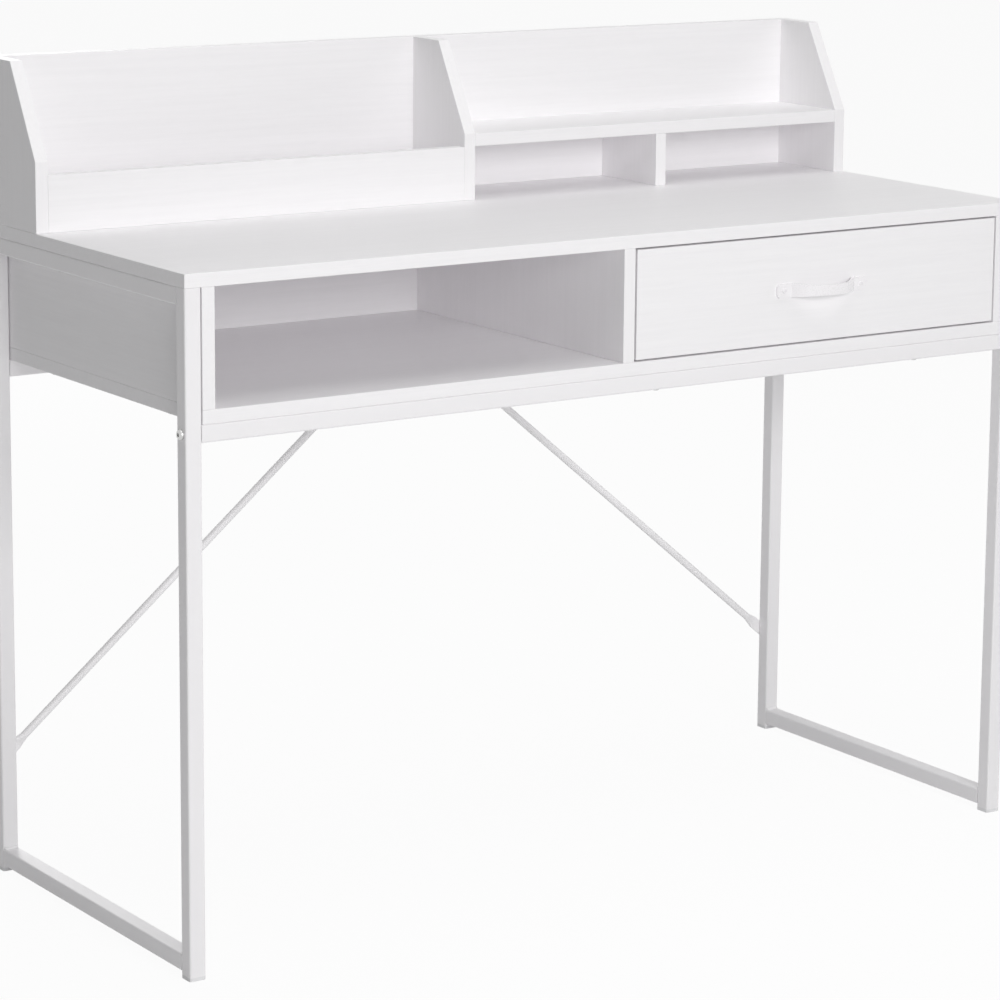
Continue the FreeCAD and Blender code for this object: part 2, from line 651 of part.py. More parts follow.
def bow_handle():
    """Strip handle: two drilled tabs and a bowed grip that narrows towards its middle."""
    end = HANDLE_LENGTH / 2.0
    spring = end - HANDLE_TAB
    tab_half = HANDLE_TAB_HEIGHT / 2.0
    grip_half = HANDLE_GRIP_HEIGHT / 2.0
    strip = HANDLE_STRIP
    inset = HANDLE_INNER_INSET

    def line(a, b):
        return Part.LineSegment(a, b).toShape()

    z = -tab_half
    outer = [Vector(-spring, -strip, z), Vector(0, -HANDLE_BOW, z), Vector(spring, -strip, z)]
    inner = [Vector(spring - inset, 0, z), Vector(0, strip - HANDLE_BOW, z), Vector(inset - spring, 0, z)]
    plan = Part.Wire([
        line(Vector(-end, 0, z), Vector(-end, -strip, z)),
        line(Vector(-end, -strip, z), outer[0]),
        Part.Arc(*outer).toShape(),
        line(outer[2], Vector(end, -strip, z)),
        line(Vector(end, -strip, z), Vector(end, 0, z)),
        line(Vector(end, 0, z), inner[0]),
        Part.Arc(*inner).toShape(),
        line(inner[2], Vector(-end, 0, z)),
    ])
    swept = Part.Face(plan).extrude(Vector(0, 0, HANDLE_TAB_HEIGHT))

    r = HANDLE_CORNER
    mid = r * (1.0 - math.sqrt(0.5))
    front = DRILL_SPARE

    def corner(x, sx, sz):
        """Round outer corner of a tab, from its end towards its long edge."""
        points = [
            Vector(x, front, sz * (tab_half - r)),
            Vector(x - sx * mid, front, sz * (tab_half - mid)),
            Vector(x - sx * r, front, sz * tab_half),
        ]
        return points if sx * sz > 0 else points[::-1]

    def waist(sz):
        """Long edge of the grip, drawn in towards its middle."""
        points = [
            Vector(spring, front, sz * tab_half),
            Vector(0, front, sz * grip_half),
            Vector(-spring, front, sz * tab_half),
        ]
        return points if sz > 0 else points[::-1]

    upper = [corner(end, 1, 1), waist(1), corner(-end, -1, 1)]
    lower = [corner(-end, -1, -1), waist(-1), corner(end, 1, -1)]
    arcs = upper + lower
    edges = []
    for index, points in enumerate(arcs):
        edges.append(Part.Arc(*points).toShape())
        edges.append(line(points[2], arcs[(index + 1) % len(arcs)][0]))
    outline = Part.Face(Part.Wire(edges)).extrude(Vector(0, -HANDLE_BOW - 2.0 * front, 0))
    shape = swept.common(outline)
    bends = [e for e in shape.Edges if len(e.Vertexes) == 2 and is_bend(e, spring)]
    shape = shape.makeFillet(HANDLE_BEND, bends)
    for x in (-end + HANDLE_TAB / 2.0, end - HANDLE_TAB / 2.0):
        shape = bore(shape, [Vector(x, 0, 0)], Vector(0, -1, 0), SMALL_SCREW_R + SCREW_CLEARANCE, strip)
    shape.translate(Vector(DRAWER_X, FRONT, DRAWER_Z))
    return shape


def is_bend(edge, spring):
    """True for the upright edges where a handle's tab turns up into its grip."""
    first, last = (v.Point for v in edge.Vertexes)
    upright = abs(first.x - last.x) < 1e-6 and abs(first.y - last.y) < 1e-6
    return upright and abs(first.x) < spring + 1e-6


def build_drawer():
    """Drawer box, front, base panel, handle and their fixings."""
    gap = DRAWER_SIDE_GAP
    level = DRAWER_LEVEL_GAP
    panel_z = BOX_BOTTOM + PANEL_LIFT
    inner_left = BOX_LEFT + DRAWER_SIDE
    inner_right = BOX_RIGHT - DRAWER_SIDE
    back_front = BOX_REAR - DRAWER_SIDE
    pilot = SCREW_R + SCREW_CLEARANCE

    front = board(OPEN_LEFT + gap, OPEN_RIGHT - gap, FRONT, BOX_FRONT, FLOOR_TOP + level, TOP_UNDER - level)
    left = board(BOX_LEFT, inner_left, BOX_FRONT, BOX_REAR, BOX_BOTTOM, BOX_TOP)
    right = board(inner_right, BOX_RIGHT, BOX_FRONT, BOX_REAR, BOX_BOTTOM, BOX_TOP)
    back_under = panel_z + DRAWER_PANEL + GROOVE_CLEARANCE
    back = board(inner_left, inner_right, back_front, BOX_REAR, back_under, BOX_TOP)
    groove = block(
        inner_left - PANEL_GROOVE, inner_right + PANEL_GROOVE,
        BOX_FRONT - PANEL_GROOVE, BOX_REAR,
        panel_z - GROOVE_CLEARANCE, back_under,
    )
    lap = PANEL_GROOVE - PANEL_SETBACK
    panel = block(
        inner_left - lap, inner_right + lap,
        BOX_FRONT - lap, BOX_REAR - PANEL_SETBACK,
        panel_z, panel_z + DRAWER_PANEL,
    )
    front = front.cut(groove)
    left = left.cut(groove)
    right = right.cut(groove)

    dowels = []
    screws = []
    upper = panel_z + DRAWER_PANEL
    rows = (upper + (BOX_TOP - upper) * DRAWER_LOW_ROW, upper + (BOX_TOP - upper) * DRAWER_HIGH_ROW)
    for x in (BOX_LEFT + DRAWER_SIDE / 2.0, BOX_RIGHT - DRAWER_SIDE / 2.0):
        joint = DowelJoint([Vector(x, BOX_FRONT, z) for z in rows], Vector(0, 1, 0))
        front = joint.drill_face(front)
        if x < DRAWER_X:
            left = joint.drill_edge(left)
        else:
            right = joint.drill_edge(right)
        dowels.extend(joint.pins())
    back_y = BOX_REAR - DRAWER_SIDE / 2.0
    bite = 2.0 * SCREW_BITE
    for x, face, inward in ((BOX_LEFT, inner_left, 1.0), (BOX_RIGHT, inner_right, -1.0)):
        into = Vector(inward, 0, 0)
        sunk = SCREW_HEAD + DRAWER_SCREW_SINK
        for z in rows:
            mouth = Vector(x, back_y, z)
            seat = mouth + into * sunk
            side = left if inward > 0 else right
            side = bore(side, [mouth], into, SCREW_HEAD_R + SCREW_CLEARANCE, sunk)
            side = bore(side, [mouth], into, pilot, DRAWER_SIDE)
            back = bore(back, [Vector(face, back_y, z)], into, pilot, bite + DRILL_SPARE)
            screws.append(wood_screw(seat, into * -1.0, DRAWER_SIDE - sunk + bite))
            if inward > 0:
                left = side
            else:
                right = side

    reach = HANDLE_LENGTH / 2.0 - HANDLE_TAB / 2.0
    clear = SMALL_SCREW_R + SCREW_CLEARANCE
    handle_screws = []
    for x in (DRAWER_X - reach, DRAWER_X + reach):
        seat = Vector(x, FRONT - HANDLE_STRIP, DRAWER_Z)
        mouth = Vector(x, FRONT, DRAWER_Z)
        front = bore(front, [mouth], Vector(0, 1, 0), clear, SMALL_SCREW_BITE + DRILL_SPARE)
        handle_screws.append(small_screw(seat, Vector(0, -1, 0), HANDLE_STRIP + SMALL_SCREW_BITE))

    add("drawer_front", front)
    add("drawer_left_side", left)
    add("drawer_right_side", right)
    add("drawer_back", back)
    add("drawer_base_panel", panel)
    add("drawer_handle", bow_handle())
    add("handle_screws", group(handle_screws))
    add("drawer_dowels", group(dowels))
    add("drawer_back_screws", group(screws))


def roller(x, y, z, outward):
    """Nylon wheel with eased rims, its bore running on a riveted pin along X."""
    wheel = rod(Vector(x, y, z), Vector(outward, 0, 0), ROLLER_R, ROLLER_WIDTH)
    wheel = wheel.makeFillet(ROLLER_EASE, [e for e in wheel.Edges if e.Closed])
    hole = rod(Vector(x, y, z), Vector(outward, 0, 0), PIN_R + PIN_CLEARANCE, ROLLER_WIDTH)
    return wheel.cut(hole)


def pin(web, y, z, outward):
    """Rivet that carries a roller, with a washer shoulder at the web and a head at its free end."""
    gap = PIN_WASHER_GAP
    shoulder = PIN_HEAD - gap
    length = PIN_HEAD + ROLLER_WIDTH + gap
    way = Vector(outward, 0, 0)
    body = rod(Vector(web, y, z), way, PIN_R, length)
    body = body.fuse(rod(Vector(web, y, z), way, PIN_HEAD_R, shoulder))
    return body.fuse(rod(Vector(web + outward * length, y, z), way, PIN_HEAD_R, PIN_HEAD))


def build_runner(side, cabinet_face, inward):
    """One runner: the channel on the cabinet, the angle on the drawer, and a roller on each."""
    sheet = RUNNER_SHEET
    box_face = cabinet_face + inward * RUNNER_SPACE
    web = cabinet_face + inward * sheet
    drawer_web = box_face - inward * sheet
    track = BOX_BOTTOM - DRAWER_BOX_LIFT / 2.0 + sheet
    wheel_z = track + ROLLER_PLAY + ROLLER_R
    flange_under = track + 2.0 * (ROLLER_PLAY + ROLLER_R)
    cover_under = flange_under + sheet + RUNNER_FLANGE_GAP
    cover_top = cover_under + sheet
    web_top = cover_top + RUNNER_WEB_RISE
    start = BOX_FRONT + RUNNER_SETBACK
    length = BOX_DEPTH
    outward = -inward

    def plate(a, b, y0, y1, z0, z1):
        return block(min(a, b), max(a, b), y0, y1, z0, z1)

    reach = drawer_web - inward * RUNNER_FLANGE_GAP
    channel = plate(cabinet_face, web, start, start + length, track - sheet, web_top)
    channel = channel.fuse(plate(web, reach, start, start + length, track - sheet, track))
    lip = reach - inward * RUNNER_FLANGE_GAP
    channel = channel.fuse(plate(web, lip, start, start + length, cover_under, cover_top))
    front_y = start + ROLLER_INSET
    channel = channel.fuse(pin(web, front_y, wheel_z, inward)).removeSplitter()

    back_stop = BOX_REAR - RUNNER_SETBACK
    angle_top = web_top - RUNNER_WEB_RISE / 3.0
    angle = plate(box_face, drawer_web, BOX_FRONT, back_stop, BOX_BOTTOM - sheet, angle_top)
    under = box_face + inward * (DRAWER_SIDE - sheet)
    angle = angle.fuse(plate(drawer_web, under, BOX_FRONT, back_stop, BOX_BOTTOM - sheet, BOX_BOTTOM))
    rim = web + inward * RUNNER_FLANGE_GAP
    angle = angle.fuse(plate(drawer_web, rim, BOX_FRONT, back_stop, flange_under, flange_under + sheet))
    rear_y = back_stop - ROLLER_INSET
    angle = angle.fuse(pin(drawer_web, rear_y, wheel_z, outward)).removeSplitter()

    cabinet_screws = []
    drawer_screws = []
    clear = SMALL_SCREW_R + SCREW_CLEARANCE
    board_name = "cabinet_divider" if side == "left" else "cabinet_right_side"
    side_name = f"drawer_{side}_side"
    cabinet_z = (cover_top + web_top) / 2.0 + RUNNER_SCREW_RAISE
    drawer_z = cover_top + (web_top - cover_top) / 3.0
    for along in (RUNNER_SCREW_INSET, length / 2.0, length - RUNNER_SCREW_INSET):
        y = start + along
        seat = Vector(web, y, cabinet_z)
        into = Vector(outward, 0, 0)
        channel = bore(channel, [seat], into, clear, sheet)
        mouth = Vector(cabinet_face, y, cabinet_z)
        PARTS[board_name] = bore(PARTS[board_name], [mouth], into, clear, SMALL_SCREW_BITE + DRILL_SPARE)
        cabinet_screws.append(small_screw(seat, into * -1.0, sheet + SMALL_SCREW_BITE))
        y = BOX_FRONT + along
        seat = Vector(drawer_web, y, drawer_z)
        into = Vector(inward, 0, 0)
        angle = bore(angle, [seat], into, clear, sheet)
        mouth = Vector(box_face, y, drawer_z)
        PARTS[side_name] = bore(PARTS[side_name], [mouth], into, clear, SMALL_SCREW_BITE + DRILL_SPARE)
        drawer_screws.append(small_screw(seat, into * -1.0, sheet + SMALL_SCREW_BITE))

    add(f"{side}_cabinet_runner", channel)
    add(f"{side}_drawer_runner", angle)
    add(f"{side}_cabinet_roller", roller(web + inward * PIN_HEAD, front_y, wheel_z, inward))
    add(f"{side}_drawer_roller", roller(drawer_web + outward * PIN_HEAD, rear_y, wheel_z, outward))
    return cabinet_screws, drawer_screws


def build_runners():
    """Both runners and the small screws that hold them."""
    cabinet_screws = []
    drawer_screws = []
    for side, face, inward in (("left", OPEN_LEFT, 1.0), ("right", OPEN_RIGHT, -1.0)):
        on_cabinet, on_drawer = build_runner(side, face, inward)
        cabinet_screws.extend(on_cabinet)
        drawer_screws.extend(on_drawer)
    add("cabinet_runner_screws", group(cabinet_screws))
    add("drawer_runner_screws", group(drawer_screws))


def main():
    """Builds every sub-part and writes one STEP file for each."""
    top_points = build_side_frames()
    floor_points = build_cross_rails()
    build_braces()
    worktop = build_cabinet(top_points, floor_points)
    build_hutch(worktop)
    build_drawer()
    build_runners()
    os.makedirs("parts", exist_ok=True)
    for name, shape in PARTS.items():
        shape.exportStep(os.path.join("parts", f"{name}.step"))
        print(f"{name}: {len(shape.Solids)} solids, {shape.Volume / 1000.0:.1f} cm3")


main()
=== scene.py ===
"""Studio scene of a white student desk with a low hutch.

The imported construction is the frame. Each sub-assembly is a class that dresses its
nodes with finishes and models the small pieces that the frame leaves to the looks.
"""

import logging
import math
from dataclasses import dataclass
from enum import Enum
from typing import Any, Callable, Iterable, Sequence, Union

import bpy
from mathutils import Matrix, Vector


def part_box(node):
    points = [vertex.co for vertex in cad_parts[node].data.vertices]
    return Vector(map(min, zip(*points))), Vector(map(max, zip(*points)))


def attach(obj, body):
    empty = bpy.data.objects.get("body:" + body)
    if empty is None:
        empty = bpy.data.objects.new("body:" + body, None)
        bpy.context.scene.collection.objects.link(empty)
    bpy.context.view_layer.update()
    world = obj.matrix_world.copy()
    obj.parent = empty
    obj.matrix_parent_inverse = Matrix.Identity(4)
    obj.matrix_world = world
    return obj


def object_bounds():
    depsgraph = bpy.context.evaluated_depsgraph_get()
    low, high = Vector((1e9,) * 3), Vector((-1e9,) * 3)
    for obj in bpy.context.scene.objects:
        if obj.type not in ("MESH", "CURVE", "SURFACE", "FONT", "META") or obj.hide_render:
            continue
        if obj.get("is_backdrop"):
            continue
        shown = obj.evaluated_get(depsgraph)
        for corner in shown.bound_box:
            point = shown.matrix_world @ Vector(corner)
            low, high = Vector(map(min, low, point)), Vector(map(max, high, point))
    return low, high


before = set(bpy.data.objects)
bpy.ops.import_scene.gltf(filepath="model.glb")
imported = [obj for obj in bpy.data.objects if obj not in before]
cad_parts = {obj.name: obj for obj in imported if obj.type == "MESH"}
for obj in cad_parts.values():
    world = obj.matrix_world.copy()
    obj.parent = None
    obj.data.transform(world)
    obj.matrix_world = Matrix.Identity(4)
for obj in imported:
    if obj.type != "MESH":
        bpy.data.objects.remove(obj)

LOG = logging.getLogger("student_desk")
MM = 0.001

Colour = tuple[float, float, float]
Triple = tuple[float, float, float]
Number = Union[int, float]
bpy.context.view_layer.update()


class GrainAxis(Enum):
    """Row axis along which a board's printed grain runs."""

    X = 0
    Y = 1
    Z = 2


class Wired:
    """Output socket that turns Python arithmetic into Math nodes."""

    def __init__(self, graph: "Graph", socket: bpy.types.NodeSocket) -> None:
        """Keeps the graph and one of its output sockets."""
        self.graph = graph
        self.socket = socket

    def _math(self, operation: str, *values: Union["Wired", Number]) -> "Wired":
        """Adds one Math node.

        Args:
            operation: Name of the node's operation.
            values: Its operands, as sockets or plain numbers.

        Returns:
            The node's result.
        """
        return self.graph.node("ShaderNodeMath", {"operation": operation}, dict(enumerate(values)))

    def __add__(self, other: Union["Wired", Number]) -> "Wired":
        """Sum of two values."""
        return self._math("ADD", self, other)

    def __radd__(self, other: Number) -> "Wired":
        """Sum with a number on the left."""
        return self._math("ADD", other, self)

    def __sub__(self, other: Union["Wired", Number]) -> "Wired":
        """Difference of two values."""
        return self._math("SUBTRACT", self, other)

    def __rsub__(self, other: Number) -> "Wired":
        """Difference from a number on the left."""
        return self._math("SUBTRACT", other, self)

    def __mul__(self, other: Union["Wired", Number]) -> "Wired":
        """Product of two values."""
        return self._math("MULTIPLY", self, other)

    def __rmul__(self, other: Number) -> "Wired":
        """Product with a number on the left."""
        return self._math("MULTIPLY", other, self)

    def clamp(self) -> "Wired":
        """Value held between 0 and 1."""
        return self.graph.node("ShaderNodeClamp", {}, {0: self})


class Graph:
    """Node tree of one material or of the world."""

    def __init__(self, tree: bpy.types.NodeTree) -> None:
        """Empties the tree, so that only this script's nodes are in it."""
        self.tree = tree
        tree.nodes.clear()

    def node(self, kind: str, settings: dict[str, Any], inputs: dict[Any, Any], output: Any = 0) -> Wired:
        """Adds any node.

        Args:
            kind: Blender's name of the node type.
            settings: Attributes that are set before the sockets. "stops" sets a ramp's stops.
            inputs: Socket name or number to a wired value, or to a plain one.
            output: Name or number of the output that is handed back.

        Returns:
            The chosen output.
        """
        made = self.tree.nodes.new(kind)
        for key, value in settings.items():
            if key == "stops":
                self._set_stops(made, value)
            else:
                setattr(made, key, value)
        for key, value in inputs.items():
            if isinstance(value, Wired):
                self.tree.links.new(value.socket, made.inputs[key])
            else:
                made.inputs[key].default_value = value
        return Wired(self, made.outputs[output]) if made.outputs else Wired(self, made.inputs[0])

    @staticmethod
    def _set_stops(ramp: bpy.types.Node, stops: Sequence[tuple[float, Number]]) -> None:
        """Sets the places and grey levels of a colour ramp.

        Args:
            ramp: Colour ramp node.
            stops: Pairs of place and grey level, in rising order.
        """
        elements = ramp.color_ramp.elements
        while len(elements) < len(stops):
            elements.new(0.5)
        for element, (place, level) in zip(elements, stops):
            element.position = place
            element.color = (level, level, level, 1.0)

    def place(self, scale: Sequence[float]) -> Wired:
        """Object coordinates, stretched.

        Args:
            scale: Repeats per metre along each axis.

        Returns:
            Vector for a texture.
        """
        coordinates = self.node("ShaderNodeTexCoord", {}, {}, "Object")
        return self.node("ShaderNodeMapping", {}, {"Vector": coordinates, "Scale": tuple(scale)})

    def noise(self, scale: Sequence[float], detail: float, roughness: float = 0.5) -> Wired:
        """Fractal noise over the object.

        Args:
            scale: Repeats per metre along each axis.
            detail: Octaves.
            roughness: Share that each octave keeps.

        Returns:
            Value of about 0 to 1.
        """
        inputs = {"Vector": self.place(scale), "Scale": 1.0, "Detail": detail, "Roughness": roughness}
        return self.node("ShaderNodeTexNoise", {}, inputs)

    def even_noise(self, scale: float, detail: float) -> Wired:
        """Fractal noise with the same repeats per metre along each axis."""
        return self.noise((scale, scale, scale), detail)

    def ramp(self, value: Wired, stops: Sequence[tuple[float, Number]]) -> Wired:
        """Grey ramp of a value."""
        return self.node("ShaderNodeValToRGB", {"stops": stops}, {0: value})

    def mix(self, factor: Union[Wired, Number], first: Any, second: Any) -> Wired:
        """Blend of two colours.

        Args:
            factor: 0 for the first colour, 1 for the second.
            first: Colour or wired colour.
            second: Colour or wired colour.

        Returns:
            The blended colour.
        """
        inputs = {0: factor, 6: solid(first), 7: solid(second)}
        return self.node("ShaderNodeMix", {"data_type": "RGBA"}, inputs, 2)

    def bump(self, height: Wired, distance: float, strength: float) -> Wired:
        """Normal raised by a height.

        Args:
            height: Height of 0 to 1.
            distance: Depth of the relief in metres.
            strength: Share of the relief that shows.

        Returns:
            Normal for a shader.
        """
        inputs = {"Height": height, "Distance": distance, "Strength": strength}
        return self.node("ShaderNodeBump", {}, inputs)


def solid(colour: Any) -> Any:
    """Colour with an alpha of 1, or the wired colour as it is."""
    return colour if isinstance(colour, Wired) else (*colour, 1.0)


@dataclass(frozen=True)
class Finish:
    """A finish that a material is made from."""

    name: str

    def wire(self, graph: Graph) -> dict[str, Any]:
        """Values and links for the shader's sockets."""
        raise NotImplementedError

    def material(self) -> bpy.types.Material:
        """Makes the material once and hands back the same one after that.

        Returns:
            Material with this finish.
        """
        kept = bpy.data.materials.get(self.name)
        if kept is not None:
            return kept
        made = bpy.data.materials.new(self.name)
        made.use_nodes = True
        graph = Graph(made.node_tree)
        shader = graph.node("ShaderNodeBsdfPrincipled", {}, self.wire(graph))
        graph.node("ShaderNodeOutputMaterial", {}, {"Surface": shader})
        return made


@dataclass(frozen=True)
class FacedBoard(Finish):
    """White paper-faced chipboard with a faint printed and pressed grain."""

    grain: GrainAxis
    light: Colour = (0.907, 0.897, 0.907)
    shade: Colour = (0.864, 0.854, 0.865)
    streak_length: float = 0.150
    streak_width: float = 0.0040
    pore_length: float = 0.020
    pore_width: float = 0.0006
    cloud_scale: float = 3.0
    roughness: float = 0.40
    relief: float = 0.00006
    ior: float = 1.48

    def _along(self, length: float, width: float) -> list[float]:
        """Repeats per metre for a mark of a given length and width along the grain."""
        scale = [1.0 / width] * 3
        scale[self.grain.value] = 1.0 / length
        return scale

    def wire(self, graph: Graph) -> dict[str, Any]:
        """Streaks in the colour, fine pores in the gloss and relief."""
        streak = graph.ramp(graph.noise(self._along(self.streak_length, self.streak_width), 3.0, 0.6),
                            ((0.30, 0.0), (0.72, 1.0)))
        pore = graph.ramp(graph.noise(self._along(self.pore_length, self.pore_width), 2.0),
                          ((0.50, 0.0), (0.70, 1.0)))
        cloud = graph.even_noise(self.cloud_scale, 2.0)
        tone = (streak * 0.55 + pore * 0.30 + cloud * 0.25).clamp()
        return {
            "Base Color": graph.mix(tone, self.light, self.shade),
            "Roughness": self.roughness + streak * 0.06 + pore * 0.10,
            "Normal": graph.bump(1.0 - (pore * 0.7 + streak * 0.3), self.relief, 0.5),
            "IOR": self.ior,
        }


@dataclass(frozen=True)
class PowderCoat(Finish):
    """Baked powder paint on steel, with a fine orange-peel skin."""

    light: Colour = (0.887, 0.876, 0.887)
    shade: Colour = (0.852, 0.841, 0.853)
    peel_width: float = 0.0016
    drift_scale: float = 9.0
    roughness: float = 0.34
    relief: float = 0.000012
    ior: float = 1.50

    def wire(self, graph: Graph) -> dict[str, Any]:
        """Orange peel in the relief, and a slow drift in colour and gloss."""
        peel = graph.even_noise(1.0 / self.peel_width, 1.0)
        drift = graph.even_noise(self.drift_scale, 3.0)
        sockets = {
            "Base Color": graph.mix(drift, self.light, self.shade),
            "Roughness": self.roughness + drift * 0.08 + peel * 0.04,
            "IOR": self.ior,
        }
        if self.relief > 0:
            sockets["Normal"] = graph.bump(peel, self.relief, 0.45)
        return sockets


@dataclass(frozen=True)
class PlatedSteel(Finish):
    """Bright zinc on small steel parts, with fine turning marks and dull patches."""

    light: Colour = (0.68, 0.68, 0.67)
    shade: Colour = (0.50, 0.50, 0.50)
    mark_width: float = 0.0007
    mark_relief: float = 0.00002
    cloud_scale: float = 260.0
    roughness: float = 0.24

    def wire(self, graph: Graph) -> dict[str, Any]:
        """Cloudy plating over fine marks."""
        cloud = graph.even_noise(self.cloud_scale, 3.0)
        marks = graph.noise((1.0 / self.mark_width, 1.0 / self.mark_width, 0.2 / self.mark_width), 2.0)
        return {
            "Base Color": graph.mix(cloud, self.light, self.shade),
            "Metallic": 1.0,
            "Roughness": self.roughness + cloud * 0.16 + marks * 0.08,
            "Normal": graph.bump(marks, self.mark_relief, 0.4),
        }


@dataclass(frozen=True)
class MouldedPlastic(Finish):
    """Moulded plastic with a spark-eroded skin."""

    light: Colour
    shade: Colour
    skin_scale: float = 1800.0
    skin_relief: float = 0.00003
    drift_scale: float = 30.0
    roughness: float = 0.48
    ior: float = 1.47

    def wire(self, graph: Graph) -> dict[str, Any]:
        """Fine matt texture with a slow drift."""
        skin = graph.even_noise(self.skin_scale, 2.0)
        drift = graph.even_noise(self.drift_scale, 2.0)
        return {
            "Base Color": graph.mix(drift, self.light, self.shade),
            "Roughness": self.roughness + skin * 0.12,
            "Normal": graph.bump(skin, self.skin_relief, 0.5),
            "IOR": self.ior,
        }


@dataclass(frozen=True)
class RawBeech(Finish):
    """Bare beech of the dowels, with short flecks."""

    light: Colour = (0.60, 0.42, 0.26)
    shade: Colour = (0.44, 0.28, 0.16)
    fleck_scale: Triple = (900.0, 900.0, 160.0)
    fleck_relief: float = 0.00006
    band_scale: Triple = (140.0, 140.0, 20.0)
    roughness: float = 0.62

    def wire(self, graph: Graph) -> dict[str, Any]:
        """Flecks and slow growth bands."""
        fleck = graph.ramp(graph.noise(self.fleck_scale, 2.0), ((0.45, 0.0), (0.66, 1.0)))
        band = graph.noise(self.band_scale, 2.0)
        return {
            "Base Color": graph.mix((fleck * 0.5 + band * 0.5).clamp(), self.light, self.shade),
            "Roughness": self.roughness + fleck * 0.12,
            "Normal": graph.bump(fleck, self.fleck_relief, 0.5),
        }


@dataclass(frozen=True)
class Fibreboard(Finish):
    """Lacquered fibreboard of the drawer's base, with pressed fibres."""

    light: Colour = (0.80, 0.795, 0.79)
    shade: Colour = (0.72, 0.71, 0.69)
    fibre_scale: Triple = (700.0, 500.0, 700.0)
    fibre_relief: float = 0.00005
    speck_scale: float = 1600.0
    roughness: float = 0.44

    def wire(self, graph: Graph) -> dict[str, Any]:
        """Tangled fibres in colour and relief."""
        fibre = graph.noise(self.fibre_scale, 5.0, 0.65)
        speck = graph.ramp(graph.even_noise(self.speck_scale, 1.0), ((0.60, 0.0), (0.72, 1.0)))
        return {
            "Base Color": graph.mix((fibre * 0.6 + speck * 0.3).clamp(), self.light, self.shade),
            "Roughness": self.roughness + fibre * 0.14,
            "Normal": graph.bump(fibre, self.fibre_relief, 0.5),
        }


BOARD_X = FacedBoard("white_board_grain_x", GrainAxis.X)
BOARD_Y = FacedBoard("white_board_grain_y", GrainAxis.Y)
BOARD_Z = FacedBoard("white_board_grain_z", GrainAxis.Z)
TUBE_PAINT = PowderCoat("white_powder_coat")
# Painted light: the braces get the tubes' white made a few percent lighter, to brighten rods that lie
# partly in the desk's shade. The coat has no orange-peel relief.
ROD_PAINT_WITH_PAINTED_LIGHT = PowderCoat("white_rod_coat_painted_light", light=(0.92, 0.91, 0.92), shade=(0.89, 0.88, 0.89),
                       roughness=0.46, relief=0.0)
RUNNER_PAINT = PowderCoat("runner_epoxy", light=(0.80, 0.80, 0.79), shade=(0.75, 0.75, 0.74),
                          roughness=0.28)
HANDLE_PAINT = PowderCoat("handle_enamel", light=(0.90, 0.885, 0.90), shade=(0.87, 0.855, 0.87),
                          roughness=0.22)
ZINC = PlatedSteel("bright_zinc")
FOOT_PLASTIC = MouldedPlastic("foot_plastic", light=(0.80, 0.80, 0.81), shade=(0.74, 0.74, 0.75))
NYLON = MouldedPlastic("roller_nylon", light=(0.82, 0.82, 0.79), shade=(0.74, 0.74, 0.71), roughness=0.38)
BEECH = RawBeech("raw_beech")
BASE_PANEL = Fibreboard("lacquered_fibreboard")


def dress(names: Iterable[str], finish: Finish) -> None:
    """Gives frame nodes a finish.

    Args:
        names: Node names.
        finish: The finish that they take.
    """
    for name in names:
        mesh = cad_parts[name].data
        mesh.materials.clear()
        mesh.materials.append(finish.material())
        LOG.info("%s: %s", name, finish.name)


class Modeller:
    """One new piece, modelled by operators from a round bar."""

    merge_distance: float = 1e-6

    def __init__(self, name: str, radius: float, depth: float, centre: Vector, axis: Vector,
                 sides: int) -> None:
        """Adds the bar with its place in its mesh, and opens it for editing with nothing selected.

        Args:
            name: Name of the finished piece.
            radius: The bar's radius.
            depth: Its length.
            centre: Its middle.
            axis: Its direction.
            sides: Number of flats round it.
        """
        bpy.ops.object.select_all(action="DESELECT")
        turn = Vector((0, 0, 1)).rotation_difference(axis).to_euler()
        bpy.ops.mesh.primitive_cylinder_add(vertices=sides, radius=radius, depth=depth, location=centre,
                                            rotation=turn)
        self.piece = bpy.context.active_object
        self.piece.name = name
        self.piece.data.name = name
        bpy.ops.object.transform_apply(location=True, rotation=True, scale=True)
        bpy.ops.object.mode_set(mode="EDIT")
        bpy.ops.mesh.select_all(action="DESELECT")

    def pick_faces(self, test: Callable[[bpy.types.MeshPolygon], bool]) -> int:
        """Selects faces by a test on each.

        Args:
            test: True for a face that is selected.

        Returns:
            How many were selected.
        """
        bpy.ops.mesh.select_mode(type="FACE")
        bpy.ops.mesh.select_all(action="DESELECT")
        bpy.ops.object.mode_set(mode="OBJECT")
        count = 0
        for face in self.piece.data.polygons:
            face.select = bool(test(face))
            count += face.select
        bpy.ops.object.mode_set(mode="EDIT")
        return count

    def finish(self, smooth_deg: float) -> bpy.types.Object:
        """Merges doubles, leaves edit mode and shades the piece.

        Args:
            smooth_deg: Edges flatter than this are shaded smooth.

        Returns:
            The finished piece.
        """
        bpy.ops.mesh.select_all(action="SELECT")
        bpy.ops.mesh.remove_doubles(threshold=self.merge_distance)
        bpy.ops.mesh.normals_make_consistent(inside=False)
        bpy.ops.object.mode_set(mode="OBJECT")
        bpy.ops.object.shade_smooth_by_angle(angle=math.radians(smooth_deg))
        return self.piece


def hand_over(piece: bpy.types.Object, body: str, finish: Finish) -> None:
    """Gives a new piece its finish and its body.

    Args:
        piece: The finished piece.
        body: Body that it moves with.
        finish: Its finish.
    """
    piece.data.materials.clear()
    piece.data.materials.append(finish.material())
    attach(piece, body)
    LOG.info("%s: new piece on %s, %s", piece.name, body, finish.name)


